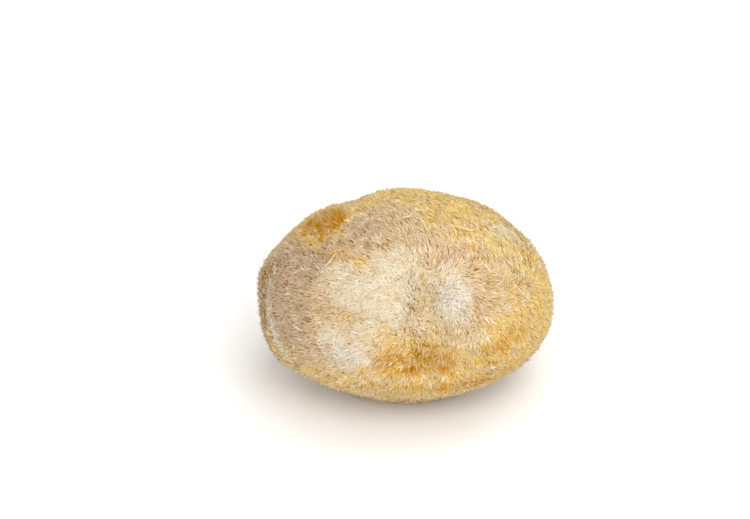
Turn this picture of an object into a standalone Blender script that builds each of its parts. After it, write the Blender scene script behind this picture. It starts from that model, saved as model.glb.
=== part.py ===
"""A whole dried lion's mane mushroom, standing on the flat cut where it came off its wood.

Metres, +Z up. The origin is the middle of the cut. The face, with its dimple between soft lobes,
looks along -Y and a little up. The flesh is one rounded body, worked out as a distance from its
heart in every direction. Triangular spines are raised from it, fused to it, and lean away from
the dimple as the nap of the real one does.
"""

from math import cos, radians, sin

import bmesh
import bpy
import numpy as np
from mathutils import Vector

# Overall sizes over the tips of the spines, to which the lobes add up to a millimetre.
WIDTH = 0.100
DEPTH = 0.086
HEIGHT = 0.0645

# The heart is the point that all directions are taken from. It is as high as the widest level.
HEART_HEIGHT = 0.027
NAP_HEIGHT = 0.0032
BELLY_CLEARANCE = 0.0015
CROWN_ROUNDNESS = 2.05
BELLY_ROUNDNESS = 2.5

# The stub is what is left of the stalk. It swells down past the plane of the knife.
STUB_DROP = 0.0095
STUB_HALF_ANGLE = radians(46)
STUB_SHOULDER = 6
BARE_STUB_HEIGHT = 0.0050
KNIFE_SNAP = 0.0005

# Lobes stand out and hollows sink in. Each has the azimuth from the front towards +X and the
# elevation of its middle, both in degrees, its reach across and along, its turn and its height.
LOBES_AND_HOLLOWS = {
    "dimple": (9.5, 30, 0.0050, 0.0095, -8, -0.0046),
    "furrow_below_dimple": (13, 11, 0.0045, 0.0130, -10, -0.0022),
    "upper_left_cheek": (-22, 36, 0.0150, 0.0090, 0, 0.0018),
    "lower_left_cheek": (-25, 8, 0.0110, 0.0080, 0, 0.0016),
    "groove_between_cheeks": (-27, 22, 0.0130, 0.0032, 0, -0.0014),
    "pale_lump": (26, 29, 0.0062, 0.0085, 0, 0.0019),
    "lower_right_lobe": (38, 4, 0.0110, 0.0090, 0, 0.0012),
    "left_shoulder": (-104, 52, 0.0150, 0.0150, 0, -0.0022),
    "notch_behind_left_shoulder": (-141, 42, 0.0080, 0.0120, 0, -0.0018),
    "left_brow": (-91, 14, 0.0110, 0.0075, 0, 0.0018),
    "left_belly": (-70, -14, 0.0120, 0.0090, 0, 0.0015),
    "right_shoulder": (106, 27, 0.0130, 0.0120, 0, -0.0010),
    "right_belly": (84, -3, 0.0100, 0.0080, 0, 0.0007),
    "back_right_hollow": (141, 46, 0.0100, 0.0100, 0, -0.0010),
    "back_fold": (172, 8, 0.0075, 0.0200, 12, -0.0019),
    "back_left_lobe": (-148, 14, 0.0140, 0.0100, 20, 0.0015),
    "back_right_lobe": (140, 12, 0.0120, 0.0120, -15, 0.0015),
}
MEAN_REACH = 0.043

# Spines: one from each triangle of the flesh above the stub.
FLESH_POINTS = 1640
POINT_WANDER = 0.14
SPINE_LEAN = 0.0016
SPINE_HEIGHT_SPREAD = 0.22
DIMPLE_SHORTENING = 0.35
LOWEST_TIP = 0.0008
SEED = 10

NAP_COLOUR = (0.72, 0.52, 0.28, 1.0)
NAP_ROUGHNESS = 0.85


def clear_scene():
    for thing in list(bpy.data.objects):
        bpy.data.objects.remove(thing)


def heading(azimuth, elevation):
    """The unit direction at an azimuth from the front and an elevation, both in degrees."""
    turn, rise = radians(azimuth), radians(elevation)
    return np.array([sin(turn) * cos(rise), -cos(turn) * cos(rise), sin(rise)])


def spot(directions, azimuth, elevation, across, along, turn):
    """A soft oval spot, 1 at its middle and fading to 0, for each direction."""
    middle = heading(azimuth, elevation)
    right = heading(azimuth + 90, 0)
    up = heading(azimuth, elevation + 90)
    spin = radians(turn)
    u = directions @ (cos(spin) * right + sin(spin) * up) * MEAN_REACH / across
    v = directions @ (cos(spin) * up - sin(spin) * right) * MEAN_REACH / along
    return np.where(directions @ middle > 0, np.exp(-(u * u + v * v)), 0)


def flesh(directions):
    """Points of the flesh: a rounded body with lobes and hollows, and the stub below it."""
    x, y, z = directions.T
    half_width = WIDTH / 2 - NAP_HEIGHT
    half_depth = DEPTH / 2 - NAP_HEIGHT
    crown = HEIGHT - HEART_HEIGHT - NAP_HEIGHT
    belly = HEART_HEIGHT - NAP_HEIGHT - BELLY_CLEARANCE
    level = np.hypot(x / half_width, y / half_depth)
    upright = np.abs(z) / np.where(z > 0, crown, belly)
    roundness = np.where(z > 0, CROWN_ROUNDNESS, BELLY_ROUNDNESS)
    reach = (level**roundness + upright**roundness) ** (-1 / roundness)
    for *oval, height in LOBES_AND_HOLLOWS.values():
        reach = reach + height * spot(directions, *oval)
    below = np.arccos(np.clip(-z, -1, 1)) / STUB_HALF_ANGLE
    reach = reach + STUB_DROP * np.exp(-(below**STUB_SHOULDER))
    return directions * reach[:, None] + (0, 0, HEART_HEIGHT)


def spread_directions(count, rng):
    """Directions spread evenly over the sphere on a golden spiral, each moved a little."""
    step = np.arange(count) + 0.5
    z = 1 - 2 * step / count
    turn = step * np.pi * (1 + 5**0.5)
    ring = np.sqrt(1 - z * z)
    even = np.stack([ring * np.cos(turn), ring * np.sin(turn), z], axis=1)
    spacing = (4 * np.pi / count) ** 0.5
    moved = even + rng.normal(0, POINT_WANDER * spacing, even.shape)
    return moved / np.linalg.norm(moved, axis=1, keepdims=True)


def flesh_mesh(rng):
    """A closed triangle mesh of the flesh: the hull of the directions, carried onto the body."""
    directions = spread_directions(FLESH_POINTS, rng)
    mesh = bmesh.new()
    corners = [mesh.verts.new(direction) for direction in directions]
    bmesh.ops.convex_hull(mesh, input=corners)
    for corner, point in zip(corners, flesh(directions)):
        corner.co = point
    bmesh.ops.recalc_face_normals(mesh, faces=mesh.faces)
    return mesh


def cut_flat(mesh):
    """The knife: takes off what is below the origin, and closes the stub with one flat face."""
    for corner in mesh.verts:
        if abs(corner.co.z) < KNIFE_SNAP:
            corner.co.z = 0
    everything = mesh.verts[:] + mesh.edges[:] + mesh.faces[:]
    cut = bmesh.ops.bisect_plane(
        mesh,
        geom=everything,
        dist=KNIFE_SNAP / 2,
        plane_co=(0, 0, 0),
        plane_no=(0, 0, -1),
        clear_outer=True,
    )
    rim = [part for part in cut["geom_cut"] if isinstance(part, bmesh.types.BMEdge)]
    bmesh.ops.edgeloop_fill(mesh, edges=rim)
    bmesh.ops.recalc_face_normals(mesh, faces=mesh.faces)


def raise_spines(mesh, rng):
    """Raises each triangle above the stub to a tip that leans away from the dimple."""
    *oval, _ = LOBES_AND_HOLLOWS["dimple"]
    dimple = Vector(flesh(heading(*oval[:2])[None])[0])
    heart = Vector((0, 0, HEART_HEIGHT))
    spiny = [face for face in mesh.faces if face.calc_center_median().z > BARE_STUB_HEIGHT]
    for face in spiny:
        middle, out = face.calc_center_median(), face.normal.copy()
        away = (middle - dimple).normalized()
        across = away - out * away.dot(out)
        inside = float(spot(np.array((middle - heart).normalized()), *oval))
        lean = across * SPINE_LEAN * (1 - inside)
        height = NAP_HEIGHT * (1 - SPINE_HEIGHT_SPREAD * rng.random())
        height *= 1 - DIMPLE_SHORTENING * inside
        tip = bmesh.ops.poke(mesh, faces=[face])["verts"][0]
        tip.co = middle + out * height + lean
        tip.co.z = max(tip.co.z, LOWEST_TIP)


def nap_material():
    material = bpy.data.materials.new("dried_nap")
    material.use_nodes = True
    shader = material.node_tree.nodes["Principled BSDF"]
    shader.inputs["Base Color"].default_value = NAP_COLOUR
    shader.inputs["Roughness"].default_value = NAP_ROUGHNESS
    shader.inputs["Metallic"].default_value = 0
    return material


def mushroom_head():
    rng = np.random.default_rng(SEED)
    mesh = flesh_mesh(rng)
    cut_flat(mesh)
    raise_spines(mesh, rng)
    data = bpy.data.meshes.new("mushroom_head")
    mesh.to_mesh(data)
    mesh.free()
    data.materials.append(nap_material())
    head = bpy.data.objects.new("mushroom_head", data)
    bpy.context.scene.collection.objects.link(head)
    return head


clear_scene()
mushroom_head()
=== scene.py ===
# %% [markdown]
# # A dried lion's mane mushroom
#
# The real object is one fruit body, about as big as a fist. Under a nap of thousands of soft
# spines it is a spongy ball. Drying has combed, matted and bunched the spines, and has turned
# them from white to cream, tan and gold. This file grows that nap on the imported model.
#
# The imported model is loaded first. It gives the size, and every piece below stays in its place
# and within about a millimetre of its box.

import bpy
import numpy as np
from mathutils import Matrix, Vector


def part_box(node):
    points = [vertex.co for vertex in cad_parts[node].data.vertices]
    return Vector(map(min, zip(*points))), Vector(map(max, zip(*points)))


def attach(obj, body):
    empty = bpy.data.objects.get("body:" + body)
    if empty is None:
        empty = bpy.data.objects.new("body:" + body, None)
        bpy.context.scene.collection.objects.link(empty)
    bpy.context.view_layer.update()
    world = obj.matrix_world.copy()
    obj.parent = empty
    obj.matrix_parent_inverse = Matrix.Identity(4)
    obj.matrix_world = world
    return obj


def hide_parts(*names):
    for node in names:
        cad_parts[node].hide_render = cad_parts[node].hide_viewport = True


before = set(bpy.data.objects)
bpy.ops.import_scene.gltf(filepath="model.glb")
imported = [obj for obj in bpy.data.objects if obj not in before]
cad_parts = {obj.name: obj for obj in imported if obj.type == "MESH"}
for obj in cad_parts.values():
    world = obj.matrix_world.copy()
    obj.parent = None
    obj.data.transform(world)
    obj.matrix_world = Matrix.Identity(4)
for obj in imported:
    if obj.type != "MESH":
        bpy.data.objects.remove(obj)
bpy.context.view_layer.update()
low, high = (np.array(corner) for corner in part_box("mushroom_head"))
WIDTH, DEPTH, HEIGHT = high[0] - low[0], high[1] - low[1], high[2]
MM = 0.001


def in_mm(metres):
    """Metres as millimetres, rounded to be printed."""
    return np.round(np.asarray(metres) / MM, 1).tolist()


print("the solid is", in_mm([WIDTH, DEPTH, HEIGHT]), "mm")

# %% [markdown]
# ## The flesh as a function
#
# The body could be sculpted, or built from a lathe profile and pushed about. Here it is a
# formula instead: for any direction from the heart of the mushroom it gives how far out the
# flesh reaches. Everything that grows on the flesh asks the same formula where it stands, so
# nothing floats. The lobes, hollows and stub have the solid's values. Only the nap is lower than
# the solid's coarse spines, because fine spines lie over.

# %% Directions from the heart
HEART_HEIGHT = 0.027
NAP_HEIGHT = 0.0018
MEAN_REACH = 0.043


def heading(azimuth, elevation):
    """The unit direction at an azimuth from the front and an elevation, both in degrees.

    The front is -Y, and a positive azimuth turns towards +X.
    """
    turn, rise = np.radians(azimuth), np.radians(elevation)
    return np.array([np.sin(turn) * np.cos(rise), -np.cos(turn) * np.cos(rise), np.sin(rise)])


def spot(directions, azimuth, elevation, across, along, turn=0):
    """A soft oval spot: e to the minus squared distance from its middle, in units of its reach.

    across and along are in millimetres on the flesh. The mushroom's far side gets none of it.
    """
    middle = heading(azimuth, elevation)
    right = heading(azimuth + 90, 0)
    up = heading(azimuth, elevation + 90)
    spin = np.radians(turn)
    u = directions @ (np.cos(spin) * right + np.sin(spin) * up) * MEAN_REACH / (MM * across)
    v = directions @ (np.cos(spin) * up - np.sin(spin) * right) * MEAN_REACH / (MM * along)
    return np.where(directions @ middle > 0, np.exp(-(u * u + v * v)), 0)


# %% Lobes, hollows and the stub
# Each has its height in millimetres, then its spot: azimuth, elevation, across, along, turn.
LOBES_AND_HOLLOWS = dict(
    dimple=(-4.6, 9.5, 30, 5, 9.5, -8),
    furrow_below_dimple=(-2.2, 13, 11, 4.5, 13, -10),
    upper_left_cheek=(1.8, -22, 36, 15, 9),
    lower_left_cheek=(1.6, -25, 8, 11, 8),
    groove_between_cheeks=(-1.4, -27, 22, 13, 3.2),
    pale_lump=(1.9, 26, 29, 6.2, 8.5),
    lower_right_lobe=(1.2, 38, 4, 11, 9),
    left_shoulder=(-2.2, -104, 52, 15, 15),
    notch_behind_left_shoulder=(-1.8, -141, 42, 8, 12),
    left_brow=(1.8, -91, 14, 11, 7.5),
    left_belly=(1.5, -70, -14, 12, 9),
    right_shoulder=(-1, 106, 27, 13, 12),
    right_belly=(0.7, 84, -3, 10, 8),
    back_right_hollow=(-1, 141, 46, 10, 10),
    back_fold=(-1.9, 172, 8, 7.5, 20, 12),
    back_left_lobe=(1.5, -148, 14, 14, 10, 20),
    back_right_lobe=(1.5, 140, 12, 12, 12, -15),
)
CROWN_ROUNDNESS, BELLY_ROUNDNESS, BELLY_CLEARANCE = 2.05, 2.5, 0.0015
STUB_DROP, STUB_HALF_ANGLE, STUB_SHOULDER = 0.0095, np.radians(46), 6


def flesh(directions):
    """Points of the flesh in each direction.

    A superellipsoid with half sides a, b and c reaches 1 / (level**p + upright**p)**(1/p), where
    level and upright are the direction's parts over those half sides. Lobes and hollows are
    added to that reach, and so is the stub, a plateau round the direction straight down.
    """
    x, y, z = directions.T
    crown = HEIGHT - HEART_HEIGHT - NAP_HEIGHT
    belly = HEART_HEIGHT - NAP_HEIGHT - BELLY_CLEARANCE
    level = np.hypot(x / (WIDTH / 2 - NAP_HEIGHT), y / (DEPTH / 2 - NAP_HEIGHT))
    upright = np.abs(z) / np.where(z > 0, crown, belly)
    roundness = np.where(z > 0, CROWN_ROUNDNESS, BELLY_ROUNDNESS)
    reach = (level**roundness + upright**roundness) ** (-1 / roundness)
    for height, *oval in LOBES_AND_HOLLOWS.values():
        reach = reach + MM * height * spot(directions, *oval)
    below = np.arccos(np.clip(-z, -1, 1)) / STUB_HALF_ANGLE
    reach = reach + STUB_DROP * np.exp(-(below**STUB_SHOULDER))
    return directions * reach[:, None] + (0, 0, HEART_HEIGHT)


# %% Points of the flesh with their normals
ASKEW = (0.31, -0.22, 0.92)


def unit(vectors):
    """Each vector over its own length."""
    return vectors / np.linalg.norm(vectors, axis=-1, keepdims=True)


def dot(a, b):
    """The sum of the products of the vectors' parts, as a last axis of one."""
    return (a * b).sum(-1, keepdims=True)


def flesh_and_normals(directions, step=0.01):
    """The flesh's points, and its outward normals from two small steps to the sides.

    The first step is square to the direction and to ASKEW, which no direction here lies along.
    """
    side = unit(np.cross(directions, ASKEW))
    other = np.cross(directions, side)
    here = flesh(directions)
    along_side = flesh(unit(directions + step * side)) - here
    along_other = flesh(unit(directions + step * other)) - here
    return here, unit(np.cross(along_side, along_other))


print("the crown of the flesh is at", in_mm(flesh(heading(0, 90)[None])[0]), "mm")

# %% [markdown]
# ## Smooth chance
#
# Drying is uneven. Random numbers on their own give dust, not patches, so the unevenness comes
# from sums of random waves: each wave is a sine along a random direction, and its length sets
# how large the patches are. The slope of the same sum tells spines which way to bunch.

# %% Random waves and their slope
SPREAD_OF_WAVES = (0.7, 1.4)


def waves(points, size, seed, count=28):
    """A smooth random field of about -2 to 2 at the points, and its slope times size / 2 pi.

    It is the sum of sines along random directions, whose wavelengths lie round the given size.
    """
    rng = np.random.default_rng(seed)
    way = unit(rng.normal(size=(count, 3))) * (2 * np.pi / size)
    way = way * rng.uniform(*SPREAD_OF_WAVES, (count, 1))
    phase = points @ way.T + rng.uniform(0, 2 * np.pi, count)
    scale = (2 / count) ** 0.5
    return scale * np.sin(phase).sum(1), scale * size / (2 * np.pi) * (np.cos(phase) @ way)


# %% [markdown]
# ## Where the spines stand
#
# A particle system would scatter them, but the export keeps only real mesh. The roots are
# placed by a golden spiral instead, the pattern of a sunflower's seeds. Each step up takes an
# equal share of the flesh's area, so the nap is as dense on the flanks as on the crown. A little
# wander takes the pattern away.

# %% Roots on a golden spiral
SPINES, SEED = 96000, 11
LOWEST_ROOT = 0.0022
ROOT_SPACING, ROOT_WANDER = 0.00048, 0.3
LEVELS, NEAR_POLE, TURN_STEP = 240, 0.9995, 6
rng = np.random.default_rng(SEED)


def share_of_area():
    """Sines of elevations, and the share of the flesh's area that lies below each of them.

    The area in a narrow cone from the heart is the distance squared over the cosine between the
    cone and the flesh's normal.
    """
    sines = np.linspace(-NEAR_POLE, NEAR_POLE, LEVELS)
    turns = np.radians(np.arange(0, 360, TURN_STEP))
    ring = np.sqrt(1 - sines**2)[:, None]
    x, y = ring * np.sin(turns), -ring * np.cos(turns)
    directions = np.stack([x, y, np.broadcast_to(sines[:, None], x.shape)], -1).reshape(-1, 3)
    points, normals = flesh_and_normals(directions)
    far = np.linalg.norm(points - (0, 0, HEART_HEIGHT), axis=1)
    area = far**2 / np.abs((normals * directions).sum(1)) * (points[:, 2] > LOWEST_ROOT)
    below = np.cumsum(area.reshape(len(sines), -1).mean(1))
    return sines, below / below[-1]


def spiral_roots(count):
    """Directions of the roots: the golden angle round, an equal step up, and a wander."""
    sines, below = share_of_area()
    number = np.arange(count) + 0.5
    z = np.interp(number / count, below, sines)
    turn = number * np.pi * (3 - 5**0.5)
    ring = np.sqrt(1 - z * z)
    spacing = ROOT_SPACING / MEAN_REACH
    even = np.stack([ring * np.sin(turn), -ring * np.cos(turn), z], 1)
    return unit(even + rng.normal(0, ROOT_WANDER * spacing, even.shape))


roots = spiral_roots(SPINES)
places, normals = flesh_and_normals(roots)
keep = places[:, 2] > LOWEST_ROOT
roots, places, normals = roots[keep], places[keep], normals[keep]
print(len(roots), "roots, the lowest at", in_mm(places[:, 2].min()), "mm")

# %% [markdown]
# ## Patches of colour and growth
#
# On the face of the mushroom some places are matted flat and cream, some are mauve and stand
# rough, and others are golden. Painting a picture for this would tie it to one view. Named soft
# spots on the flesh do it from all sides, and the same spots also steer how the spines lie.

# %% Soft patches
# Each has its strength, and then its spot. A strength below zero takes the finish away.
CREAM_PATCHES = dict(
    upper_left_cheek=(1.2, -23, 35, 15.8, 9),
    groove_between_cheeks=(-0.55, -30, 21, 11, 3.2),
    ridge_left_of_dimple=(0.9, -3, 30, 5, 11),
    over_the_cheek=(0.5, -8, 53, 10, 4.5),
    above_the_lump=(0.35, 17, 42, 8, 3.5),
    lower_left_cheek=(1.2, -25, 8, 11, 8.5),
    right_of_the_groove=(0.7, -12, 23, 6, 5),
    pale_lump=(1.2, 25, 31, 5.2, 6.8),
    below_the_lump=(0.5, 28, 12, 5.5, 4),
    below_dimple=(0.5, 11, 18, 4.5, 5.5),
    right_edge=(0.5, 94, 34, 4, 9),
    upper_right=(0.47, 77, 38, 13, 11.5),
    right_wall_of_dimple=(0.32, 15, 31, 3.2, 7),
    beside_the_lower_cheek=(-0.3, -11, 14, 6, 4.5),
    left_rim_streak=(1.3, -66, 0, 1.8, 12, 45),
    back_left=(0.8, -150, 20, 14, 10, 15),
    back_right=(0.8, 150, 34, 12, 9, -20),
    left_underside=(0.7, -120, -20, 12, 8),
    right_underside=(0.6, 95, -30, 12, 8),
)
WORN_PATCHES = dict(
    pale_lump=(1.3, 24, 31, 4.4, 5.8),
    lower_left_cheek=(0.75, -25, 7, 9, 6.2),
    left_rim_streak=(0.7, -66, 0, 1.3, 11, 45),
    back_left=(0.4, -150, 22, 6, 5, 15),
)
MAUVE_PATCHES = dict(
    left_side=(1.3, -58, 14, 9.2, 20),
    left_of_the_cheek=(-0.45, -47, 27, 6, 8.5),
    # low_on_the_left is partly mauve finish and partly painted shade that darkens the lower left.
    low_on_the_left=(0.5, -42, 6, 6, 8),
    over_the_lump=(0.6, 34, 46, 9, 6.5),
    left_rim=(0.9, -74, 8, 12, 17),
    left_upper=(1.2, -68, 38, 12, 11),
    left_of_crown=(0.78, -55, 61, 16, 10.5),
    back=(0.8, -170, 30, 11, 13),
    back_low=(0.7, 165, -10, 13, 9),
)
GOLD_PATCHES = dict(
    left_tuft=(1.6, -99, 48, 10.2, 10),
    under_the_tuft=(0.55, -72, 46, 3, 3.6),
    crown=(0.9, 125, 71, 28, 13),
    crown_blotch=(0.9, 46, 70, 3.5, 2.5),
    behind_crown=(0.65, -150, 70, 24, 12),
    right_side=(1.0, 80, 26, 12, 20),
    right_shoulder=(0.8, 112, 44, 18, 12),
    right_of_band=(0.3, 70, 46, 7, 6),
    left_brow=(0.32, -62, 50, 13, 10),
    low_right=(1.4, 52, 8, 12.5, 8),
    front_belly=(0.7, 10, -14, 35, 7),
    left_belly=(0.5, -62, -16, 18, 6),
    bottom=(1.3, 5, 4, 16.5, 7),
    left_of_furrow=(0.7, -8, 14, 6, 4.8),
    dimple=(0.5, 9, 29, 5.8, 12),
    groove_between_cheeks=(0.35, -29, 22, 11, 3),
    left_edge_of_band=(0.55, -30, 46, 8.5, 2.8),
    underside=(0.5, 0, -80, 30, 30),
    back_flank=(0.7, 125, 5, 12, 12),
    back_left_flank=(0.6, -115, 10, 10, 12),
)
EMBER_PATCHES = dict(
    left_tuft=(1.9, -91, 51, 7, 5.2),
    rim_of_the_tuft=(0.66, -98, 46, 6.4, 11.5, 19),
    under_the_tuft=(0.5, -74, 47, 2.2, 3),
    left_edge_of_band=(0.6, -51, 44, 7.5, 5.2),
    dimple_edge=(2.0, 2.5, 29, 1.1, 0.9),
    crown_blotch=(0.8, 47, 70, 2.2, 1.5),
    furrow_foot=(0.8, 15, 6, 4.4, 5.5),
    left_rim_foot=(1.6, -71, -8, 1.4, 8, 35),
    left_rim_top=(0.6, -85, 14, 1.8, 8, 10),
    bottom_left=(1.0, -1, 4, 9.5, 4.5),
    low_right=(0.46, 44, 6, 13, 7),
    front_belly=(0.5, 25, -12, 25, 4),
    round_the_stub=(0.5, 0, -90, 25, 25),
)

# %% The share of each finish at a place
# Each finish has its patches, and the seed of the waves that make their edges ragged.
FINISHES = {
    "cream": (CREAM_PATCHES, 21),
    "worn": (WORN_PATCHES, 25),
    "mauve": (MAUVE_PATCHES, 31),
    "gold": (GOLD_PATCHES, 41),
    "ember": (EMBER_PATCHES, 51),
}
WIDE_RAGS, FINE_RAGS, RAGGEDNESS = 0.0060, 0.0022, 0.25
FIRST_SHOWS, RISES_OVER = 0.18, 0.7


def patched(patches, directions, points, seed):
    """How much of a finish each place has, 0 to 1: its spots added up, with a ragged edge.

    The sum first shows at FIRST_SHOWS, rises over RISES_OVER, and is smoothed: 3 s**2 - 2 s**3.
    """
    total = sum(power * spot(directions, *oval) for power, *oval in patches.values())
    ragged = waves(points, WIDE_RAGS, seed)[0] + waves(points, FINE_RAGS, seed + 1)[0]
    share = np.clip((total * (1 + RAGGEDNESS * ragged) - FIRST_SHOWS) / RISES_OVER, 0, 1)
    return share * share * (3 - 2 * share)


def finishes(directions, points):
    """The share of each of the five finishes at each place, by name."""
    return {
        name: patched(patches, directions, points, seed)
        for name, (patches, seed) in FINISHES.items()
    }


finish = finishes(roots, places)
for name, share in finish.items():
    print(name, "covers", round(float((share > 0.5).mean()), 3))

# %% [markdown]
# ## Which way the nap lies
#
# Stroke a real one and it feels like fur. Its spines part along the dimple, run up the right side
# and over the crown, and lie flat to the left. So each spine first points away from the parting
# and a little down, along the flesh. Strokes of a comb at named places then pull it aside, waves
# let it wander, and the slope of a finer wave draws neighbours together. On the parting, and
# where strokes meet and cancel, the spines are unsure of their way and stand up.

# %% Strokes of the comb
# Each has the way it combs, in degrees from rightwards to upwards, its force and its spot.
COMB_STROKES = dict(
    left_side=(208, 1.0, -54, 22, 12, 12),
    low_on_the_left=(188, 2.0, -46, 4, 13, 10),
    up_the_left_rim=(55, 4.0, -80, 8, 6, 14),
    left_rim_foot=(110, 3.0, -71, -12, 8, 8),
    over_the_upper_cheek=(200, 1.0, -33, 38, 10, 8),
    left_end_of_band=(200, 2.5, -56, 54, 11, 9),
    middle_of_band=(162, 2.5, -16, 60, 12, 9),
    right_end_of_band=(108, 2.0, 22, 58, 12, 9),
    right_of_band=(103, 3.0, 52, 47, 12, 10),
    across_the_crown=(200, 2.5, 0, 84, 16, 12),
    behind_the_band=(112, 2.5, 74, 68, 12, 12),
    up_the_right=(106, 2.4, 71, 36, 13, 12),
    over_the_right_shoulder=(112, 2.5, 98, 42, 16, 16),
    fan_right_of_lump=(322, 5.0, 40, 35, 8, 6),
    under_the_lump=(240, 2.0, 24, 19, 7, 7),
    low_on_the_right=(256, 2.5, 34, 14, 10, 8),
    far_low_right=(256, 1.4, 58, 8, 12, 8),
    right_of_furrow_foot=(228, 2.0, 18, 6, 6, 6),
    left_of_furrow_foot=(214, 2.5, -6, 7, 7, 6),
)

# %% The combed direction
PARTING_AZIMUTH, PARTING_ELEVATIONS = 7, np.linspace(8, 42, 12)
FAR_FROM_PARTING, UPRIGHT_REACH = 0.0032, 0.0055
HANG = 0.2
WANDERS = ((0.16, 0.0180, 61), (0.20, 0.0060, 62))
OVER_THE_CROWN = 0.98


def along_flesh(vectors, normals):
    """The vectors without their part along the normals."""
    return vectors - normals * dot(vectors, normals)


def nap_direction(directions, points, normals):
    """The way the nap lies, along the flesh: away from the parting and down, then combed.

    It comes with how sure each spine is of its way, 0 to 1: how far the pulls on it agree. Each
    wander is an angle in radians, the size of its waves and their seed.
    """
    parting = flesh(np.stack([heading(PARTING_AZIMUTH, rise) for rise in PARTING_ELEVATIONS]))
    offsets = points[:, None] - parting
    nearest = np.linalg.norm(offsets, axis=2).argmin(1)
    away = along_flesh(offsets[np.arange(len(points)), nearest], normals)
    far = np.linalg.norm(away, axis=1, keepdims=True)
    way = unit(away) * np.clip(far / FAR_FROM_PARTING, 0, 1)
    way = way + along_flesh(np.array([[0, 0, -HANG]]), normals)
    for angle, force, *oval in COMB_STROKES.values():
        pull = force * spot(directions, *oval)[:, None]
        right = heading(oval[0] + 90, 0)
        up = heading(oval[0], oval[1] + 90)
        stroke = np.cos(np.radians(angle)) * right + np.sin(np.radians(angle)) * up
        way = way + pull * along_flesh(stroke[None], normals)
    swing = sum(angle * waves(points, size, seed)[0] for angle, size, seed in WANDERS)
    sure = np.clip(np.linalg.norm(way, axis=1), 0, 1) * np.clip(far[:, 0] / UPRIGHT_REACH, 0, 1)
    way = unit(way)
    return np.cos(swing)[:, None] * way + np.sin(swing)[:, None] * np.cross(normals, way), sure


nap, sure = nap_direction(roots, places, normals)
crown_way = nap[roots[:, 2] > OVER_THE_CROWN].mean(0)
print("the nap over the crown points along", np.round(crown_way, 2).tolist())

# %% [markdown]
# ## One spine, ninety-six thousand times
#
# A real spine is a thin soft icicle, a little over half a millimetre thick, that leans as it
# leaves the flesh and bends over in the nap. Hair curves would be quick, but the export drops
# them. So every spine is a small closed mesh: two rings of three corners and a tip. All of them
# are worked out at once, as arrays with one row for each spine.
#
# How a spine grows depends on its place. In cream places it lies flat, in golden ones it is
# short and nearly flat, and in the tuft on the left it stands up. Flat spines would bring the
# surface down, so the bed that they stand on is raised.

# %% The bed of the nap
BED_UNDER_CREAM, BED_UNDER_GOLD = 0.0004, 0.0006
LEFT_RIM_DROP = (-0.8, -90, 20, 22, 30)


def blend(share, start, end):
    """From start at a share of 0 to end at a share of 1."""
    return start + (end - start) * share


def short_share(finish):
    """How far each place has the short spines of the golden parts, 0 to 1."""
    return finish["gold"] * (1 - finish["ember"]) * (1 - finish["cream"])


def bed(directions, finish):
    """How far the bed of the nap is raised under flat spines, less a soft drop at the left rim."""
    raised = BED_UNDER_CREAM * finish["cream"] + BED_UNDER_GOLD * short_share(finish)
    drop, *oval = LEFT_RIM_DROP
    return (raised + MM * drop * spot(directions, *oval))[:, None]


# %% How each spine grows
# In open nap and in cream places: lengths and radii in metres, and leans from upright in
# degrees, at the root and at the tip, with their spreads.
LENGTHS, RADII = (0.0031, 0.0034), (0.00033, 0.00025)
ROOT_LEANS, ROOT_SPREADS = (36, 70), (11, 6)
TIP_LEANS, TIP_SPREADS = (82, 89), (11, 5)
LEANS_IF_UNSURE = (0.5, 0.85)
UPRIGHT_TUFT = (-102, 45, 11.5, 8.5)
ROUGH_PLACE = (-64, 40, 9, 6.5)
# What a kind of place adds: a share of the length, degrees at root and tip, radians of swing.
CHANGES = {
    "upright": (0.38, -14, -40, 0.0),
    "dimple": (-0.35, -6, -14, 0.4),
    "rough": (-0.20, 0, -30, 0.8),
    "short": (-0.20, 20, 4, 0.0),
    "mauve": (-0.08, 8, 3, 0.0),
}
GROWTH_WAVES, WAVY_LENGTH, WAVY_TIP = (0.0080, 71), 0.05, 3
LENGTH_SPREAD, RADIUS_SPREAD, SHORT_EXTRA = 0.15, 0.14, 0.00001
SWING_IF_UNSURE, SWINGS_IF_SURE, CURL = 1.3, (0.3, 0.8), 0.50
LENGTH_LIMITS, RADIUS_LIMITS = (0.0018, 0.0085), (0.00012, 0.00040)
ROOT_LIMITS, TIP_LIMITS = (0.05, 1.4), (0.3, 1.75)


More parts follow.
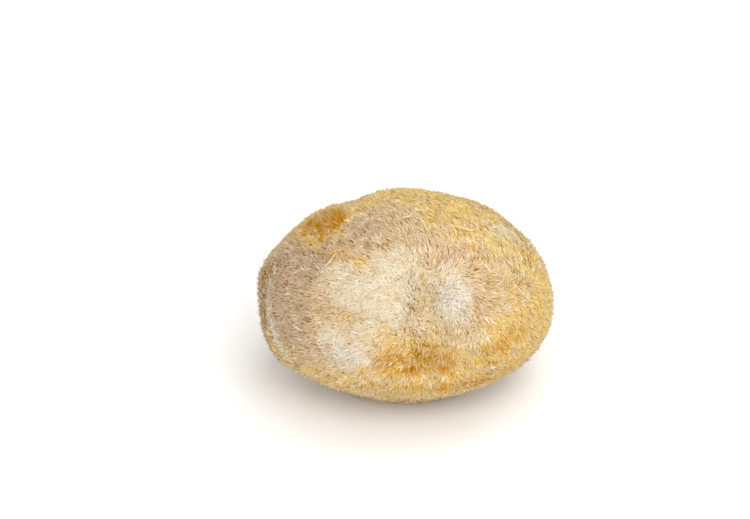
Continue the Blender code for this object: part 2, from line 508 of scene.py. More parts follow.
def growth(directions, points, finish, sure):
    """Lengths and radii of the spines in metres, and leans, swing and curl in radians.

    Each is a value for open nap or cream, plus what the kinds of place add, plus chance.
    """
    count = len(points)
    chance = rng.normal(size=(5, count))
    patchy = waves(points, *GROWTH_WAVES)[0]
    flat, short = finish["cream"], short_share(finish)
    kinds = {
        "upright": spot(directions, *UPRIGHT_TUFT),
        "dimple": spot(directions, *GOLD_PATCHES["dimple"][1:]),
        "rough": spot(directions, *ROUGH_PLACE),
        "short": short,
        "mauve": finish["mauve"] * (1 - flat),
    }
    longer, root, tip, loose = sum(np.outer(CHANGES[kind], at) for kind, at in kinds.items())
    length = blend(flat, *LENGTHS) * (1 + LENGTH_SPREAD * chance[0] + WAVY_LENGTH * patchy)
    start = blend(flat, *ROOT_LEANS) + blend(flat, *ROOT_SPREADS) * chance[1] + root
    end = blend(flat, *TIP_LEANS) + blend(flat, *TIP_SPREADS) * chance[2] + WAVY_TIP * patchy + tip
    lean_share = blend(sure, blend(flat, *LEANS_IF_UNSURE), 1)
    radius = blend(flat, *RADII) + SHORT_EXTRA * short
    return {
        "length": np.clip(length * (1 + longer), *LENGTH_LIMITS),
        "start": np.clip(np.radians(start) * lean_share, *ROOT_LIMITS),
        "end": np.clip(np.radians(end) * lean_share, *TIP_LIMITS),
        "radius": np.clip(radius * (1 + RADIUS_SPREAD * chance[3]), *RADIUS_LIMITS),
        "swing": blend(sure, SWING_IF_UNSURE, blend(flat, *SWINGS_IF_SURE) + loose) * chance[4],
        "curl": CURL * rng.normal(size=count),
    }


# %% Bunches, and the line of each spine
WIDE_BUNCHES, WIDE_PULL = (0.0052, 81), 0.08
FINE_BUNCHES, FINE_PULLS = (0.0021, 82), (0.12, 0.04)
STATIONS = np.array([0.0, 0.56, 1.0])
WALK_POINTS, EARLY_BEND, SINK = 10, 0.85, 0.0004


def bunched(nap, points, normals, flat):
    """The nap with neighbours drawn together: it is pulled up the slope of two fine waves."""
    wide = along_flesh(waves(points, *WIDE_BUNCHES)[1], normals)
    fine = along_flesh(waves(points, *FINE_BUNCHES)[1], normals)
    return unit(nap + WIDE_PULL * wide + blend(flat, *FINE_PULLS)[:, None] * fine)


def spine_lines(points, normals, nap, grow):
    """Middle points of the spines at their stations, and the two axes of their rings.

    The direction swings from the normal towards the nap with the lean, and each station lies a
    step along the mean direction from the one before.
    """
    side = np.cross(normals, nap)
    walk = np.linspace(0, 1, WALK_POINTS)
    lean = grow["start"][:, None] + (grow["end"] - grow["start"])[:, None] * walk**EARLY_BEND
    turn = grow["swing"][:, None] + grow["curl"][:, None] * walk
    way = (
        np.cos(lean)[..., None] * normals[:, None]
        + (np.sin(lean) * np.cos(turn))[..., None] * nap[:, None]
        + (np.sin(lean) * np.sin(turn))[..., None] * side[:, None]
    )
    step = grow["length"][:, None, None] * (way[:, 1:] + way[:, :-1]) / 2 / (len(walk) - 1)
    walked = np.concatenate([np.zeros((len(points), 1, 3)), np.cumsum(step, 1)], 1)
    at = np.rint(STATIONS * (len(walk) - 1)).astype(int)
    middle = (points - SINK * normals)[:, None] + walked[:, at]
    across = unit(side[:, None] - way[:, at] * dot(side[:, None], way[:, at]))
    return middle, across, np.cross(way[:, at], across)


# %% Grow them all
TONE_CHANCE, TONE_WAVES, TONE_BY_WAVES = 0.7, (0.0034, 91), 0.6
LOWEST_TIP = 0.0007
tone = TONE_CHANCE * rng.normal(size=len(roots)) + TONE_BY_WAVES * waves(places, *TONE_WAVES)[0]
places = places + bed(roots, finish) * normals
grow = growth(roots, places, finish, sure)
nap = bunched(nap, places, normals, finish["cream"])
lines = spine_lines(places, normals, nap, grow)
tips = lines[0][:, -1]
free = tips[:, 2] > LOWEST_TIP
print(int((~free).sum()), "spines would reach the floor and are left out")
print("the tips stand off their bed by", in_mm(dot(tips - places, normals).mean()), "mm")

# %% The mesh of one spine, as a template
SIDES = 3
THICKNESS = np.array([1.0, 0.86])
RINGS = len(THICKNESS)
TIP = RINGS * SIDES
ROOT_STRIP = 0.12
ROOT_ON_MAP = ((0.4, 0.0), (0.9, 0.0), (0.6, 0.09))


def spine_faces():
    """Triangles of one spine by corner number, and each corner's place on its own small map.

    Corner 3 * ring + side walks round the rings, and the tip is the last. On the map the sides
    run left to right, and the spine runs up from a strip that the closed root takes.
    """
    faces, places = [], []
    up = np.append(STATIONS[:RINGS], 1) * (1 - ROOT_STRIP) + ROOT_STRIP
    for ring, side in np.ndindex(RINGS, SIDES):
        left, right = side / SIDES, (side + 1) / SIDES
        a, b = SIDES * ring + side, SIDES * ring + (side + 1) % SIDES
        low_left, low_right = (left, up[ring]), (right, up[ring])
        if ring == RINGS - 1:
            faces.append((a, b, TIP))
            places.append((low_left, low_right, ((left + right) / 2, 1)))
            continue
        c, d = b + SIDES, a + SIDES
        high_right, high_left = (right, up[ring + 1]), (left, up[ring + 1])
        faces += [(a, b, c), (a, c, d)]
        places += [(low_left, low_right, high_right), (low_left, high_right, high_left)]
    faces.append(tuple(reversed(range(SIDES))))
    places.append(ROOT_ON_MAP)
    return np.array(faces), np.array(places)


FACES, FACE_PLACES = spine_faces()
print(len(FACES), "triangles to a spine,", len(FACES) * len(roots), "in all")

# %% [markdown]
# ## Colour from the way a spine grows
#
# In the gaps of the nap the spines are rusty brown, and their tips are dry and pale. The brown
# of the roots is partly real staining and partly painted shade, warm and dark in the gaps. So
# each point of a spine carries how far along the spine it is, and how much of each finish its
# place has. The material reads these values as attributes and mixes the colours. They are
# measures of the object, and they look right from any side.

# %% Write a batch of spines into one mesh
MAP_MARGIN = 0.08
SOFTNESS, MATTED_SOFTNESS, GOLD_MATS = 0.5, 0.78, 0.8


def cell_map(count):
    """The spines' places on the piece's map: one small square cell for each, in rows."""
    rows = int(np.ceil(count**0.5))
    number = np.arange(count)
    corner = np.stack([number % rows, number // rows], 1)[:, None, None]
    inside = MAP_MARGIN + (1 - 2 * MAP_MARGIN) * FACE_PLACES[None]
    return ((corner + inside) / rows).reshape(-1, 2)


def write_values(mesh, name, values):
    """One number for each corner of the mesh, under a name that a material can ask for."""
    attribute = mesh.attributes.new(name, "FLOAT", "POINT")
    attribute.data.foreach_set("value", np.ascontiguousarray(values, np.float32).ravel())


def new_piece(name, corners, faces, *materials):
    """An object in the scene with these corners, faces and materials."""
    mesh = bpy.data.meshes.new(name)
    mesh.from_pydata(corners, [], faces)
    for material in materials:
        mesh.materials.append(material)
    piece = bpy.data.objects.new(name, mesh)
    bpy.context.scene.collection.objects.link(piece)
    return piece


def spine_corners(chosen):
    """Corners of the chosen spines, three round each ring and the tip, and how they face."""
    count = len(chosen)
    middle, across, depth = (part[chosen] for part in lines)
    angle = 2 * np.pi * np.arange(SIDES) / SIDES + rng.uniform(0, 2 * np.pi, (count, 1, 1))
    radius = grow["radius"][chosen][:, None] * THICKNESS
    ring = np.cos(angle)[..., None] * across[:, :RINGS, None]
    ring = ring + np.sin(angle)[..., None] * depth[:, :RINGS, None]
    rings = middle[:, :RINGS, None] + radius[:, :, None, None] * ring
    corners = np.concatenate([rings.reshape(count, TIP, 3), middle[:, RINGS:]], 1)
    onwards = unit(middle[:, RINGS:] - middle[:, RINGS - 1 : RINGS])
    return corners, np.concatenate([ring.reshape(count, TIP, 3), onwards], 1)


def spine_piece(name, chosen, material):
    """One object with the chosen spines, and their values for the material.

    Its shading normals lie between the spines' own and the flesh's. Where the nap is matted they
    are nearer the flesh's, so that it shades as one surface.
    """
    count = len(chosen)
    corners, own = spine_corners(chosen)
    faces = (np.arange(count)[:, None, None] * (TIP + 1) + FACES).reshape(-1, 3)
    piece = new_piece(name, corners.reshape(-1, 3), faces, material)
    mesh = piece.data
    golden = GOLD_MATS * finish["gold"] * (1 - finish["ember"])
    matted = np.maximum(finish["cream"], golden)[chosen]
    softness = blend(matted, SOFTNESS, MATTED_SOFTNESS)[:, None, None]
    soft = unit(blend(softness, own, normals[chosen][:, None]))
    mesh.normals_split_custom_set_from_vertices(soft.reshape(-1, 3))
    layer = mesh.uv_layers.new(name="OFBake")
    layer.data.foreach_set("uv", cell_map(count).astype(np.float32).ravel())
    along = np.append(np.repeat(STATIONS[:RINGS], SIDES), 1)
    write_values(mesh, "along", np.broadcast_to(along, (count, TIP + 1)))
    write_values(mesh, "tone", np.repeat(tone[chosen], TIP + 1))
    for key, share in finish.items():
        write_values(mesh, key, np.repeat(share[chosen], TIP + 1))
    return piece


# %% [markdown]
# ## Materials
#
# The dried nap is dull, and its colour does the work. The colour could come from a photo, but
# then the back would have to repeat the front. A node group mixes it instead, from seven values
# that every spine carries. The flesh under the nap uses the same group, so gaps in the nap show
# the same rusty staining and painted shade.

# %% Helpers for colours and nodes
MIX_SHARE, MIX_FIRST, MIX_SECOND, MIX_RESULT = 0, 6, 7, 2
RANGE_SOCKETS = ("Value", "From Min", "From Max", "To Min", "To Max")


def seen(red, green, blue):
    """A screen colour from 0 to 255, as the linear values that a shader takes.

    The curve is the screen's own: a straight line in the dark, and a power of 2.4 above it.
    """
    value = np.array([red, green, blue]) / 255
    linear = np.where(value < 0.04045, value / 12.92, ((value + 0.055) / 1.055) ** 2.4)
    return (*linear, 1.0)


def put(tree, kind, **settings):
    """A new node of this kind in the tree, with its settings."""
    node = tree.nodes.new(kind)
    for name, value in settings.items():
        setattr(node, name, value)
    return node


def feed(tree, node, values):
    """Sets or links each input: a socket is linked, and anything else is a fixed value."""
    for key, value in values.items():
        if isinstance(value, bpy.types.NodeSocket):
            tree.links.new(value, node.inputs[key])
        else:
            node.inputs[key].default_value = value


def mixed(tree, share, first, second):
    """The output of a colour mix, from the first colour at share 0 to the second at 1.

    The node's sockets for numbers, vectors and colours share their names, so they are numbered.
    """
    node = put(tree, "ShaderNodeMix", data_type="RGBA")
    feed(tree, node, {MIX_SHARE: share, MIX_FIRST: first, MIX_SECOND: second})
    return node.outputs[MIX_RESULT]


def ranged(tree, value, low, high, to_low=0.0, to_high=1.0, smooth=True):
    """A value carried from one range to another, clamped, with soft ends if smooth."""
    kind = "SMOOTHSTEP" if smooth else "LINEAR"
    node = put(tree, "ShaderNodeMapRange", interpolation_type=kind)
    feed(tree, node, dict(zip(RANGE_SOCKETS, (value, low, high, to_low, to_high))))
    return node.outputs["Result"]


def worked(tree, operation, first, second):
    """The result of one sum, difference, product or choice of two values."""
    node = put(tree, "ShaderNodeMath", operation=operation)
    feed(tree, node, {0: first, 1: second})
    return node.outputs[0]


def new_material(name):
    """A new material, its node tree and its shader."""
    material = bpy.data.materials.new(name)
    material.use_nodes = True
    return material, material.node_tree, material.node_tree.nodes["Principled BSDF"]


def plain_material(name, colour, roughness):
    """A material of one even colour."""
    material, tree, shader = new_material(name)
    feed(tree, shader, {"Base Color": colour, "Roughness": roughness})
    return material


# %% The nap's colours, and the values that mix them
TAN = seen(218, 194, 154)
MAUVE = seen(200, 177, 146)
GOLD = seen(226, 196, 125)
EMBER = seen(196, 136, 12)
CREAM = seen(231, 219, 191)
# The next two colour the roots: partly real staining, partly painted warm shade in the gaps.
RUST_AND_GAP_SHADE = seen(196, 130, 66)
AMBER_AND_GAP_SHADE = seen(206, 148, 52)
SPECK = seen(158, 88, 54)
PALE = seen(246, 236, 214)
WORN = seen(227, 220, 203)
NAP_VALUES = ("cream", "worn", "mauve", "gold", "ember", "along", "tone")

# %% Ranges of the masks, as what comes in and what goes out
GOLD_IN_CLOUD, EMBER_IN_CLOUD = (0.3, 0.62, 0.6, 1.0), (0.35, 0.6, 0.5, 1.0)
TAN_IN_CREAM, WORN_STRENGTH = (0.45, 0.68, 0.0, 0.45), 0.85
# The root colour, real staining and painted shade, fades in cream places and along the spine.
STAIN_AND_SHADE_IN_CREAM, STAIN_AND_SHADE_ALONG = (0.2, 0.9, 0.8, 0.25), (0.05, 0.75)
SPECKS_IN_CREAM, SPECKS_IN_GOLD = (0.1, 0.8, 0.9, 0.2), (0.1, 0.9, 1.0, 0.6)
SPECKS_BY_TONE, MAUVE_SPECKS = (-1.0, -1.8), 0.4
SPECKS_ALONG, PALE_BY_TONE = (0.35, 0.85, 1.0, 0.0), (1.4, 2.6, 0.0, 0.4)
GOLD_CALMS, LIVELY_IF_MATTED = 0.7, (0.1, 0.8, 0.075, 0.035)
CLOUD_LIGHT, TONE_FADES = (0.3, 0.7, 0.95, 1.05), 0.10


# %% The nap's colour, as a node group
def nap_colour_group():
    """Mixes the five finishes over tan, stains the roots, adds specks and varies each spine."""
    tree = bpy.data.node_groups.new("nap_colour", "ShaderNodeTree")
    for name in NAP_VALUES:
        tree.interface.new_socket(name, in_out="INPUT", socket_type="NodeSocketFloat")
    tree.interface.new_socket("Color", in_out="OUTPUT", socket_type="NodeSocketColor")
    given = put(tree, "NodeGroupInput").outputs
    place = put(tree, "ShaderNodeTexCoord").outputs["Object"]
    blotch = put(tree, "ShaderNodeTexNoise")
    feed(tree, blotch, {"Vector": place, "Scale": 140.0, "Detail": 3.0, "Roughness": 0.6})
    cloud = blotch.outputs["Fac"]
    # The finishes, one over the other.
    colour = mixed(tree, given["mauve"], TAN, MAUVE)
    golden = worked(tree, "MULTIPLY", given["gold"], ranged(tree, cloud, *GOLD_IN_CLOUD))
    colour = mixed(tree, golden, colour, GOLD)
    amber = worked(tree, "MULTIPLY", given["ember"], ranged(tree, cloud, *EMBER_IN_CLOUD))
    colour = mixed(tree, amber, colour, EMBER)
    blotched = mixed(tree, ranged(tree, cloud, *TAN_IN_CREAM), CREAM, TAN)
    colour = mixed(tree, given["cream"], colour, blotched)
    colour = mixed(tree, worked(tree, "MULTIPLY", given["worn"], WORN_STRENGTH), colour, WORN)
    # Roots are stained with rust, or amber in golden places, and less so in cream ones. This is
    # partly real staining and partly painted warm shade in the gaps of the nap.
    root_stain_and_shade = mixed(tree, given["gold"], RUST_AND_GAP_SHADE, AMBER_AND_GAP_SHADE)
    stained_and_shaded = mixed(tree, ranged(tree, given["cream"], *STAIN_AND_SHADE_IN_CREAM), colour, root_stain_and_shade)
    colour = mixed(tree, ranged(tree, given["along"], *STAIN_AND_SHADE_ALONG), stained_and_shaded, colour)
    # The spines with the lowest tone have dark specks, more of them in mauve places, and those
    # with the highest are pale.
    lowered = worked(tree, "MULTIPLY", given["mauve"], MAUVE_SPECKS)
    redder = worked(tree, "SUBTRACT", given["tone"], lowered)
    rusty = ranged(tree, given["cream"], *SPECKS_IN_CREAM)
    rusty = worked(tree, "MULTIPLY", rusty, ranged(tree, redder, *SPECKS_BY_TONE))
    rusty = worked(tree, "MULTIPLY", rusty, ranged(tree, given["along"], *SPECKS_ALONG))
    rusty = worked(tree, "MULTIPLY", rusty, ranged(tree, given["gold"], *SPECKS_IN_GOLD))
    colour = mixed(tree, rusty, colour, SPECK)
    colour = mixed(tree, ranged(tree, given["tone"], *PALE_BY_TONE), colour, PALE)
    # Each spine is a little lighter or darker by its tone, least so where the nap is matted.
    calmed = worked(tree, "MULTIPLY", given["gold"], GOLD_CALMS)
    lively = ranged(tree, worked(tree, "MAXIMUM", given["cream"], calmed), *LIVELY_IF_MATTED)
    value = worked(tree, "ADD", 1.0, worked(tree, "MULTIPLY", given["tone"], lively))
    value = worked(tree, "MULTIPLY", value, ranged(tree, cloud, *CLOUD_LIGHT, smooth=False))
    faded = worked(tree, "MULTIPLY", given["tone"], TONE_FADES)
    tint = put(tree, "ShaderNodeHueSaturation")
    saturation = worked(tree, "SUBTRACT", 1.0, faded)
    feed(tree, tint, {"Saturation": saturation, "Value": value, "Color": colour})
    tree.links.new(tint.outputs["Color"], put(tree, "NodeGroupOutput").inputs["Color"])
    return tree


nap_group = nap_colour_group()
print(len(nap_group.nodes), "nodes mix the nap's colour")


# %% The nap material
def nap_material(name):
    """A dry matte surface whose colour comes from the values that the mesh carries."""
    material, tree, shader = new_material(name)
    group = put(tree, "ShaderNodeGroup", node_tree=nap_group)
    for value in NAP_VALUES:
        carried = put(tree, "ShaderNodeAttribute", attribute_name=value)
        tree.links.new(carried.outputs["Fac"], group.inputs[value])
    tree.links.new(group.outputs["Color"], shader.inputs["Base Color"])
    feed(tree, shader, {"Roughness": 0.82, "Specular IOR Level": 0.1})
    return material


dried_nap = nap_material("dried_nap")

# %% [markdown]
# ## The spines, in six pieces
#
# A single mesh of a million triangles would be heavy to save and to edit, so the nap is parted
# by where it grows, as someone would part hair. No seam shows, because every spine is whole.

# %% Part the nap and build it
FACE_EDGE, BACK_EDGE, CROWN_EDGE, BELLY_EDGE = 50, 130, 47, -24


def zones(directions):
    """The name of the zone each direction lies in."""
    azimuth = np.degrees(np.arctan2(directions[:, 0], -directions[:, 1]))
    elevation = np.degrees(np.arcsin(directions[:, 2]))
    zone = np.where(azimuth > 0, "nap_right", "nap_left").astype("<U16")
    zone[np.abs(azimuth) < FACE_EDGE] = "nap_face"
    zone[np.abs(azimuth) > BACK_EDGE] = "nap_back"
    zone[elevation > CROWN_EDGE] = "nap_crown"
    zone[elevation < BELLY_EDGE] = "nap_underside"
    return zone


zone = zones(roots)
for name in np.unique(zone):
    chosen = np.flatnonzero((zone == name) & free)
    piece = spine_piece(str(name), chosen, dried_nap)
    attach(piece, "root")
    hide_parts("mushroom_head")
    print(piece.name, len(chosen), "spines,", len(piece.data.polygons), "triangles")

# %% [markdown]
# ## Loose fibres
#
# Drying and handling pull some spines out. They lie on the nap as pale curved threads, and the
# eye reads them as the scale of the whole. Each is a thin closed tube that wanders over the tips.

# %% Pale threads on the nap
# Azimuth and elevation of the start, course and bend at each step in degrees, length in metres.
SEEN_THREADS = np.array(
    [
        (-9, 76, 25, 5, 0.0048),
        (58, 60, -64, 4, 0.0060),
        (20, 63, -82, -3, 0.0095),
        (49, 39, -80, 3, 0.0036),
        (-30, 57, 8, -6, 0.0032),
    ]
)
STRAY_THREADS, THREAD_STATIONS, THREAD_SIDES = 14, 9, 5
TO_BACK_AND_TOP, UPWARDS = (0, 0.5, 0.3), 1.2
COURSES_AND_BENDS = ((0, -6), (360, 6))
THREAD_LENGTHS, THREAD_RADII = (0.0030, 0.0060), (0.00010, 0.00017)
THREAD_LIFT, THREAD_WAVE, WAVE_STEP = 0.0020, 0.10, 0.9
END_TAPER, POINT_LENGTH = 0.7, 1.5


def thread_lines():
    """Middle points of the threads: a walk over the flesh whose heading bends steadily.

    Each step turns the heading by a little more, and carries the point back to the nap's height.
    Stray threads start at random, more of them at the back and high up.
    """
    azimuth, elevation, *angles, length = SEEN_THREADS.T
    seen_start = np.stack(heading(azimuth, elevation), 1)
    stray_start = unit(rng.normal(size=(STRAY_THREADS, 3)) + TO_BACK_AND_TOP)
    stray_start[:, 2] = UPWARDS * np.abs(stray_start[:, 2])
    start = np.concatenate([seen_start, unit(stray_start)])
    stray = rng.uniform(*COURSES_AND_BENDS, (STRAY_THREADS, 2)).T
    course, bend = np.radians(np.concatenate([angles, stray], 1))
    length = np.append(length, rng.uniform(*THREAD_LENGTHS, STRAY_THREADS))
    stride = length / (THREAD_STATIONS - 1)
    points, normals = flesh_and_normals(start)
    lines = []
    for station in range(THREAD_STATIONS):
        rise = 1 + THREAD_WAVE * np.sin(station * WAVE_STEP + course)
        lines.append(points + normals * (THREAD_LIFT * rise)[:, None])
        right = unit(np.cross((0, 0, 1.0), normals))
        way = np.cos(course)[:, None] * right + np.sin(course)[:, None] * np.cross(normals, right)
        course = course + bend
        forward = unit(points + stride[:, None] * way - (0, 0, HEART_HEIGHT))
        points, normals = flesh_and_normals(forward)
    return np.stack(lines, 1)


# %% Faces between rings of corners
def bands(rings, around):
    """Four-cornered faces from each ring to the next. A ring goes by its first corner."""
    now = np.arange(around)
    after = (now + 1) % around
    near, far = np.array(rings[:-1])[:, None], np.array(rings[1:])[:, None]
    walls = np.stack([near + now, near + after, far + after, far + now], -1)
    return walls.reshape(-1, 4).tolist()


def fan(ring, point, around, turned=False):
    """Three-cornered faces from a ring to one point, facing the other way if turned."""
    now = np.arange(around)
    after = (now + 1) % around
    first, second = (after, now) if turned else (now, after)
    return np.stack([ring + first, ring + second, np.full(around, point)], 1).tolist()


# %% Tubes round the threads
def thread_corners(line):
    """Rings of corners round each line, narrow at both ends, then its two end points.

    The width follows the root of a sine: sqrt(sin(pi * t)), with t from near 0 to near 1.
    """
    count = len(line)
    ahead = unit(np.gradient(line, axis=1))
    side = unit(np.cross(ahead, line - (0, 0, HEART_HEIGHT)))
    other = np.cross(ahead, side)
    angle = (2 * np.pi * np.arange(THREAD_SIDES) / THREAD_SIDES)[:, None]
    share = (np.arange(THREAD_STATIONS) + END_TAPER) / (THREAD_STATIONS - 1 + 2 * END_TAPER)
    taper = np.sin(np.pi * share) ** 0.5
    radius = (rng.uniform(*THREAD_RADII, count)[:, None] * taper)[..., None, None]
    around = np.cos(angle) * side[:, :, None] + np.sin(angle) * other[:, :, None]
    rings = (line[:, :, None] + radius * around).reshape(count, -1, 3)
    reach = rng.uniform(*THREAD_RADII, (count, 1)) * POINT_LENGTH
    ends = np.stack([line[:, 0] - reach * ahead[:, 0], line[:, -1] + reach * ahead[:, -1]], 1)
    return np.concatenate([rings, ends], 1)


def tube_faces(start):
    """Faces of the thread whose corners start here: walls, and a fan to the point at each end."""
    rings = [start + THREAD_SIDES * station for station in range(THREAD_STATIONS)]
    ends = start + THREAD_SIDES * THREAD_STATIONS
    first_end = fan(rings[0], ends, THREAD_SIDES, turned=True)
    return bands(rings, THREAD_SIDES) + first_end + fan(rings[-1], ends + 1, THREAD_SIDES)


def thread_piece(name, material):
    """All the threads as one object, each a closed tube."""
    corners = thread_corners(thread_lines())
    count, size = corners.shape[:2]
    faces = [face for number in range(count) for face in tube_faces(number * size)]
    piece = new_piece(name, corners.reshape(-1, 3), faces, material)
    piece.data.shade_smooth()
    return piece


# %% The piece of threads, too thin to show a pattern of their own
strand = plain_material("pale_thread", seen(238, 226, 198), roughness=0.75)
threads = thread_piece("loose_fibres", strand)
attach(threads, "root")
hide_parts("mushroom_head")
print(len(SEEN_THREADS) + STRAY_THREADS, "loose fibres,", len(threads.data.polygons), "faces")

# %% [markdown]
# ## The flesh under the nap
#
# It shows in gaps of the nap, on the stub and at the cut. A sphere pushed into shape would pinch
# there. This grid follows the formula in rows from the edge of the cut to the top, so its
# first row is exactly the knife's edge, and the cut is closed with flat rings inside it.

# %% The corners of the flesh
COLUMNS, ROWS, CUT_RINGS = 128, 56, 5
UNDER_NAP = 0.0003
BELOW_THE_CUT, ABOVE_THE_CUT, HALVINGS = -85.0, -20.0, 40


def cut_edge_elevation(azimuths):
    """The elevation at which the flesh crosses the plane of the cut, found by halving."""
    low_side = np.full(len(azimuths), BELOW_THE_CUT)
    high_side = np.full(len(azimuths), ABOVE_THE_CUT)
    for _ in range(HALVINGS):
        half = (low_side + high_side) / 2
        under = flesh(np.stack(heading(azimuths, half), 1))[:, 2] < 0
        low_side, high_side = np.where(under, half, low_side), np.where(under, high_side, half)
    return (low_side + high_side) / 2


def flesh_corners():
    """Rows of the flesh from the cut's edge to the crown, a pole on top, and the flat cut.

    The cut's rings are its edge drawn in towards the middle by even shares, and then the middle.
    """
    azimuths = np.arange(COLUMNS) * 360 / COLUMNS
    edge = cut_edge_elevation(azimuths)
    up = np.linspace(0, 1, ROWS + 1)[:-1]
    elevation = edge + (90 - edge) * up[:, None]
    directions = np.stack(heading(np.broadcast_to(azimuths, elevation.shape), elevation), -1)
    directions = np.concatenate([directions.reshape(-1, 3), [(0, 0, 1.0)]])
    skin, outward = flesh_and_normals(directions)
    raised = bed(directions, finishes(directions, skin)) - UNDER_NAP
    skin = skin + np.where(skin[:, 2:] > LOWEST_ROOT, raised, 0) * outward
    rim = skin[:COLUMNS] * (1, 1, 0)
    skin[:COLUMNS] = rim
    inner = [rim * share for share in np.linspace(1, 0, CUT_RINGS + 1)[1:-1]]
    return np.concatenate([skin, *inner, [(0, 0, 0)]])


# %% The faces of the flesh, and the piece
STAINED_AND_SHADED_AS_AT, FLESH_TONE_WAVES = 0.25, (0.004, 95)


def flesh_faces():
    """The faces of the skin, from the cut's edge up, and those of the cut, from inside out."""
    pole = COLUMNS * ROWS
    rows = [COLUMNS * row for row in range(ROWS)]
    inner = [pole + 1 + COLUMNS * ring for ring in range(CUT_RINGS - 1)]
    middle = inner[-1] + COLUMNS
    skin = bands(rows, COLUMNS) + fan(rows[-1], pole, COLUMNS)
    cut = bands([*reversed(inner), 0], COLUMNS) + fan(inner[-1], middle, COLUMNS, turned=True)
    return skin, cut


def flesh_piece(nap_look, cut_look):
    """The flesh as one closed object, with the nap's values, and a material for the cut."""
    corners = flesh_corners()
    skin, cut = flesh_faces()
    piece = new_piece("flesh", corners, skin + cut, nap_look, cut_look)
    mesh = piece.data
    mesh.shade_smooth()
    mesh.polygons.foreach_set("material_index", [0] * len(skin) + [1] * len(cut))
    out = unit(corners - (0, 0, HEART_HEIGHT))
    for key, share in finishes(out, corners).items():
        write_values(mesh, key, share)
    # The flesh gets the root colour of a spine a quarter of the way up: rust and painted shade.
    write_values(mesh, "along", np.full(len(corners), STAINED_AND_SHADED_AS_AT))
    write_values(mesh, "tone", waves(corners, *FLESH_TONE_WAVES)[0] * TONE_BY_WAVES)
    return piece


# %% The cut
CUT_PALE, CUT_DARK = seen(232, 214, 176), seen(190, 156, 104)
BROWN_RIM, BROWN_CLOUD = (0.014, 0.022), (0.5, 0.75)
PIT_WALLS, PIT_PAINTED_SHADE, CLOUD_RELIEF = (0.05, 0.45), (0.0, 1.0, 0.55, 0.0), 1.5


def cut_material():
    """Pale spongy flesh where the knife went: pores with painted shade in them, a browner rim and
    a slight roughness.
    """
    material, tree, shader = new_material("cut_flesh")
    place = put(tree, "ShaderNodeTexCoord").outputs["Object"]
    pores = put(tree, "ShaderNodeTexVoronoi", feature="F1")
    feed(tree, pores, {"Vector": place, "Scale": 750.0, "Randomness": 1.0})
    cloud = put(tree, "ShaderNodeTexNoise")
    feed(tree, cloud, {"Vector": place, "Scale": 160.0, "Detail": 6.0, "Roughness": 0.65})
    far = put(tree, "ShaderNodeVectorMath", operation="LENGTH")
    tree.links.new(place, far.inputs[0])
    rim = ranged(tree, far.outputs["Value"], *BROWN_RIM)
    brown = worked(tree, "MAXIMUM", rim, ranged(tree, cloud.outputs["Fac"], *BROWN_CLOUD))
    colour = mixed(tree, brown, CUT_PALE, CUT_DARK)
    pit = ranged(tree, pores.outputs["Distance"], *PIT_WALLS)
    # Painted shade: the middle of each pore is darkened with the cut's dark colour.
    colour = mixed(tree, ranged(tree, pit, *PIT_PAINTED_SHADE), colour, CUT_DARK)
    bump = put(tree, "ShaderNodeBump")
    relief = worked(tree, "MULTIPLY", cloud.outputs["Fac"], CLOUD_RELIEF)
    height = worked(tree, "ADD", pit, relief)
    feed(tree, bump, {"Strength": 0.6, "Distance": 0.0006, "Height": height})
    tree.links.new(bump.outputs["Normal"], shader.inputs["Normal"])
    tree.links.new(colour, shader.inputs["Base Color"])
    feed(tree, shader, {"Roughness": 0.9, "Specular IOR Level": 0.2})
    return material


flesh_body = flesh_piece(dried_nap, cut_material())
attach(flesh_body, "root")
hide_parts("mushroom_head")
print("the flesh has", len(flesh_body.data.polygons), "faces")

# %% [markdown]
# ## Floor, light and camera
#
# A product picture on white: a plain pale floor, a large soft light from the upper right, a
# weaker one from the left, a third from above and behind, and a bright even surround. The camera
# looks down at 30 degrees, with the head a little right of and below the middle.

# %% The floor
FLOOR_HALF = 3.0


def floor():
    """One large square at the height of the cut."""
    corners = [(-1, -1, 0), (1, -1, 0), (1, 1, 0), (-1, 1, 0)]
    pale = plain_material("pale_floor", seen(246, 245, 243), roughness=0.7)
    return new_piece("floor", FLOOR_HALF * np.array(corners), [(0, 1, 2, 3)], pale)


floor()
print("the floor is", 2 * FLOOR_HALF, "m across")

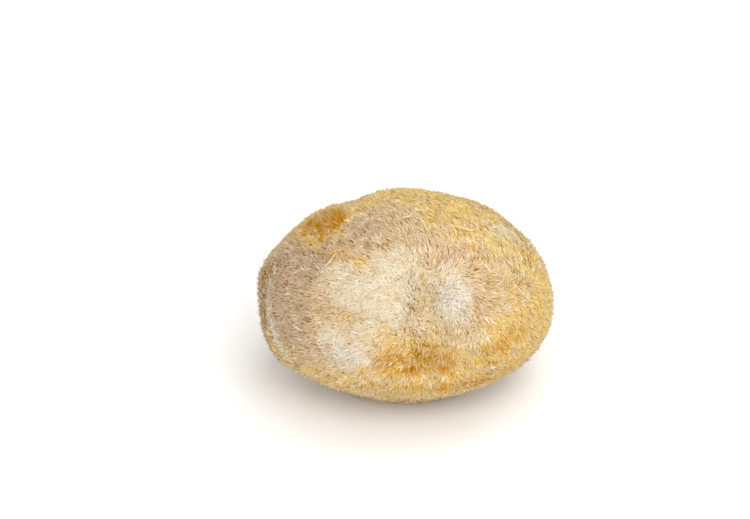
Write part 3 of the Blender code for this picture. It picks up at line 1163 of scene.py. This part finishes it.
# %% The lights
# Azimuth, elevation, distance and size in metres, power in watts, colour.
HEART = np.array([0, 0, HEART_HEIGHT])
LAMPS = {
    "key": (31, 42, 0.9, 0.8, 4.6, (1.0, 0.98, 0.96)),
    "fill": (-40, 22, 1.0, 0.8, 2.5, (0.98, 0.98, 1.0)),
    "top": (140, 62, 1.0, 0.8, 3.2, (1.0, 0.99, 0.97)),
}


def aim(thing, eye, target):
    """Puts a lamp or camera at the eye, turned so that it looks at the target with +Z up."""
    back = unit(np.asarray(eye) - target)
    right = unit(np.cross((0, 0, 1.0), back))
    turn = np.stack([right, np.cross(back, right), back], 1)
    place = np.eye(4)
    place[:3, :3], place[:3, 3] = turn, eye
    thing.matrix_world = Matrix(place.tolist())


for name, (azimuth, elevation, far, size, power, colour) in LAMPS.items():
    lamp = bpy.data.lights.new(name, "AREA")
    lamp.size, lamp.energy, lamp.color = size, power, colour
    light = bpy.data.objects.new(name, lamp)
    bpy.context.scene.collection.objects.link(light)
    aim(light, HEART + far * heading(azimuth, elevation), HEART)
    print("the", name, "lamp gives", power, "W")

world = bpy.data.worlds.new("bright_surround")
world.use_nodes = True
surround = world.node_tree.nodes["Background"]
feed(world.node_tree, surround, {"Color": (1, 1, 1, 1), "Strength": 0.76})
bpy.context.scene.world = world
bpy.context.scene.view_settings.view_transform = "Standard"

# %% The camera
PICTURE = np.array([750, 519])
HEART_IN_PICTURE = np.array([405, 300])
METRES_PER_PIXEL = 0.00034  # the chosen width of 100 mm over its 294 pixels
CAMERA_ELEVATION, CAMERA_DISTANCE, SENSOR = 30, 0.60, 36.0
back = heading(0, CAMERA_ELEVATION)
up = heading(0, CAMERA_ELEVATION + 90)
off = (HEART_IN_PICTURE - PICTURE / 2) * METRES_PER_PIXEL
target = HEART - off[0] * np.array([1, 0, 0]) + off[1] * up
lens = bpy.data.cameras.new("camera")
lens.sensor_width = SENSOR
lens.lens = SENSOR * CAMERA_DISTANCE / (PICTURE[0] * METRES_PER_PIXEL)
lens.clip_start, lens.clip_end = 0.01, 20
camera = bpy.data.objects.new("camera", lens)
bpy.context.scene.collection.objects.link(camera)
aim(camera, target + CAMERA_DISTANCE * back, target)
bpy.context.scene.camera = camera
print("lens", round(lens.lens, 1), "mm")
